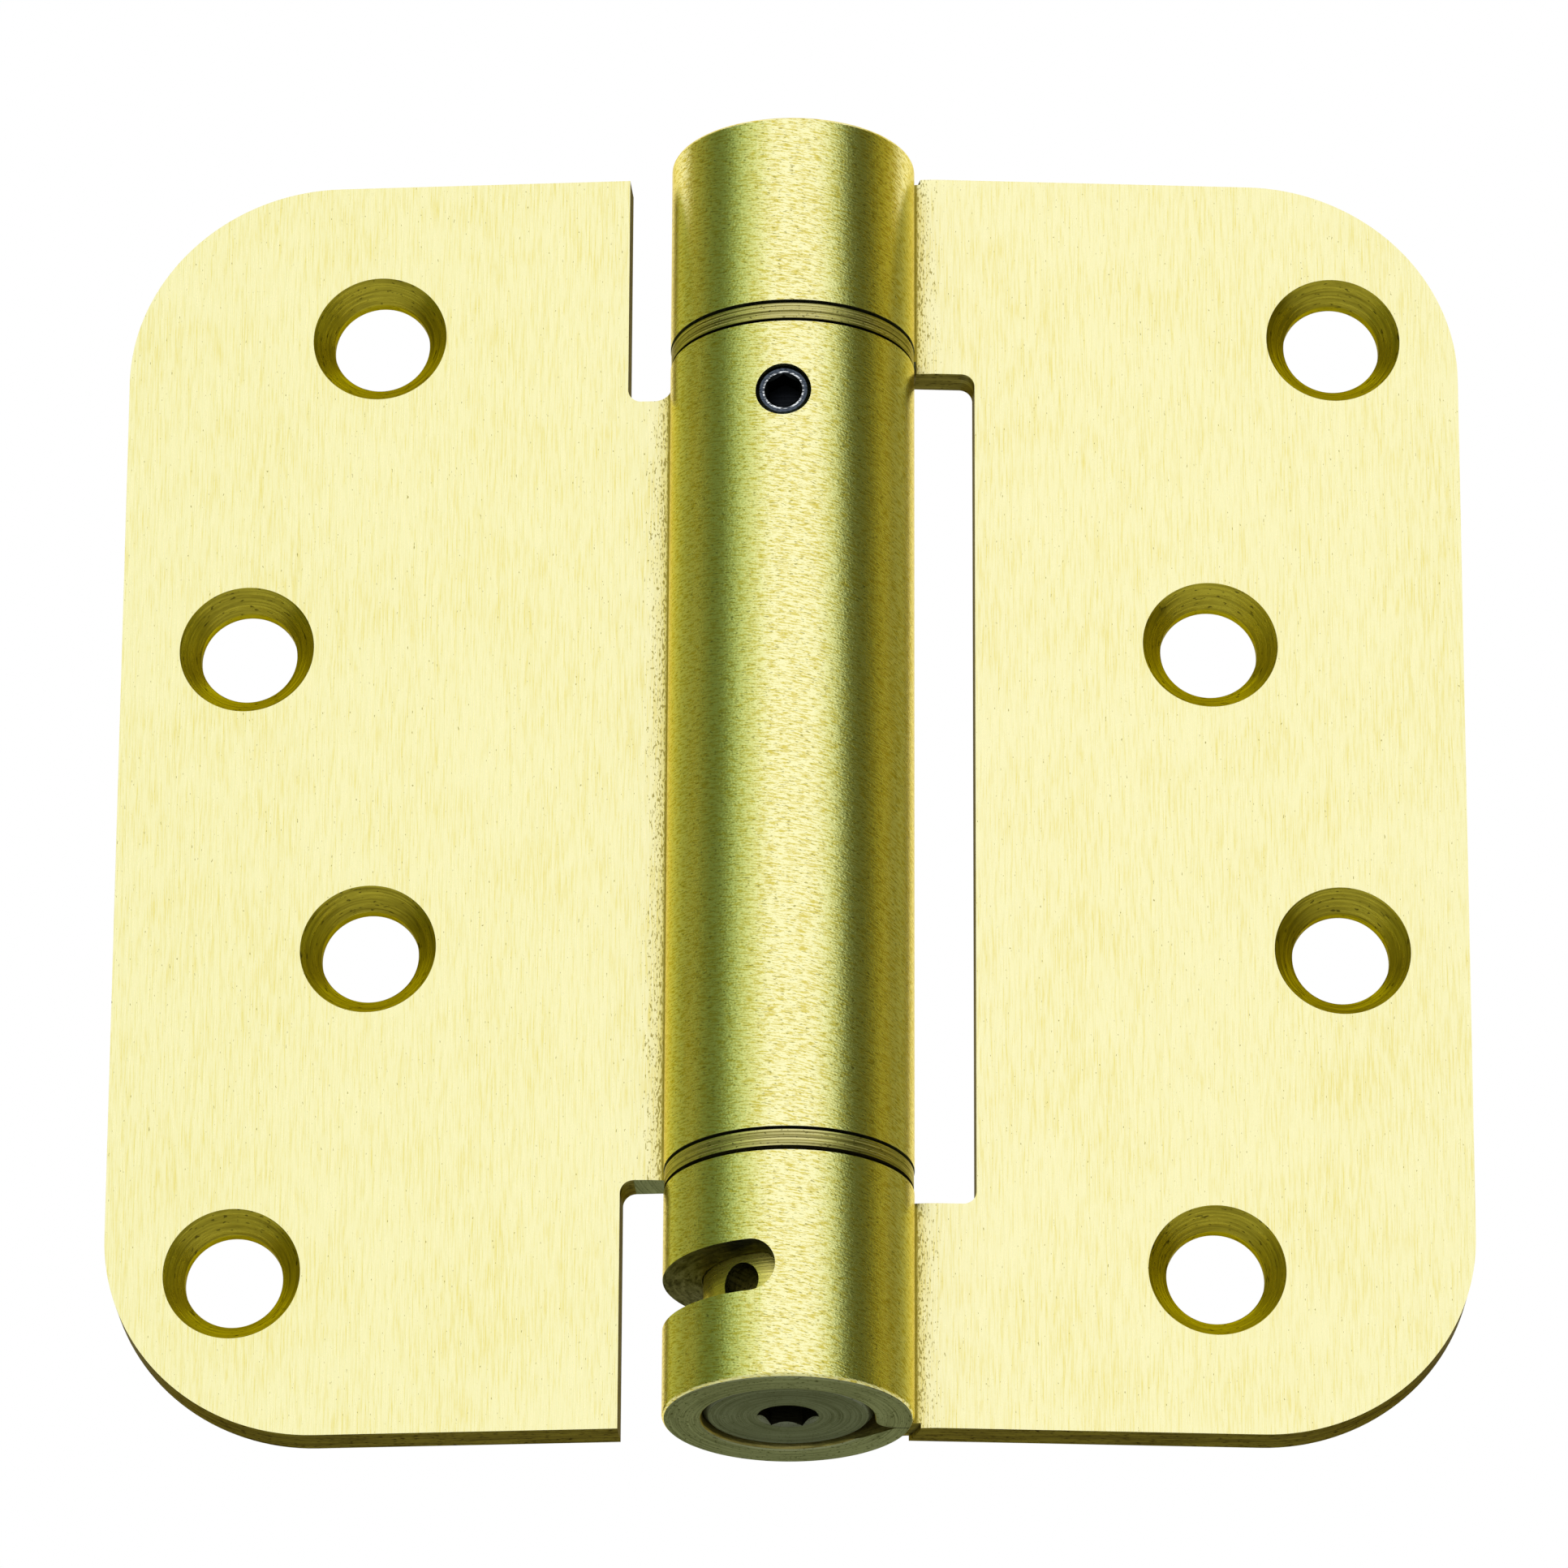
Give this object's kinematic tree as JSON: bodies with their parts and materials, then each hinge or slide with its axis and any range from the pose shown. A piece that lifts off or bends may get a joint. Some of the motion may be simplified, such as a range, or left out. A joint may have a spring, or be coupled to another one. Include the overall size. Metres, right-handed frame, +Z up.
{
  "type": "spring hinge",
  "caption": "Self-closing spring hinge: round-cornered leaves on a rolled barrel with a torsion spring, set screw and hex-key tension adjuster.",
  "frame": {"origin": "on the barrel's axis, at mid height of the leaves", "axes": "+Z up along the barrel, -Y towards the side on which the screw holes are countersunk, +X along the right leaf"},
  "size_m": [0.1011, 0.0193, 0.1016],
  "materials": {
    "satin_brass": "satin, brushed along the barrel on the leaves and round it on the barrel",
    "turned_bronze": "fine turned",
    "adjuster_brass": "dull turned",
    "bright_steel": "turned",
    "dark_steel": "blackened",
    "black_oxide": "black oxide",
    "spring_steel": "oiled wire"
  },
  "bodies": {
    "frame_leaf": {"right_leaf": "satin_brass", "upper_pivot": "bright_steel", "top_plug": "satin_brass", "upper_thrust_washer": "dark_steel", "lower_thrust_washer": "dark_steel"},
    "door_leaf": {"left_leaf": "satin_brass", "upper_bearing": "turned_bronze", "lower_bearing": "turned_bronze", "spring_anchor": "bright_steel", "anchor_set_screw": "black_oxide", "torsion_spring": "spring_steel"},
    "adjuster": {"tension_adjuster": "adjuster_brass", "adjuster_clip": "dark_steel"}
  },
  "joints": [
    {"name": "leaf_swing", "type": "hinge", "parent": "frame_leaf", "child": "door_leaf", "pos_m": [0, 0, 0], "axis": [0, 0, 1], "range_deg": [-83, 187], "deforming": ["torsion_spring"]},
    {"name": "adjuster_turn", "type": "hinge", "parent": "frame_leaf", "child": "adjuster", "pos_m": [0, 0, -0.042], "axis": [0, 0, 1], "range_deg": [0, 270], "deforming": ["torsion_spring"]}
  ]
}
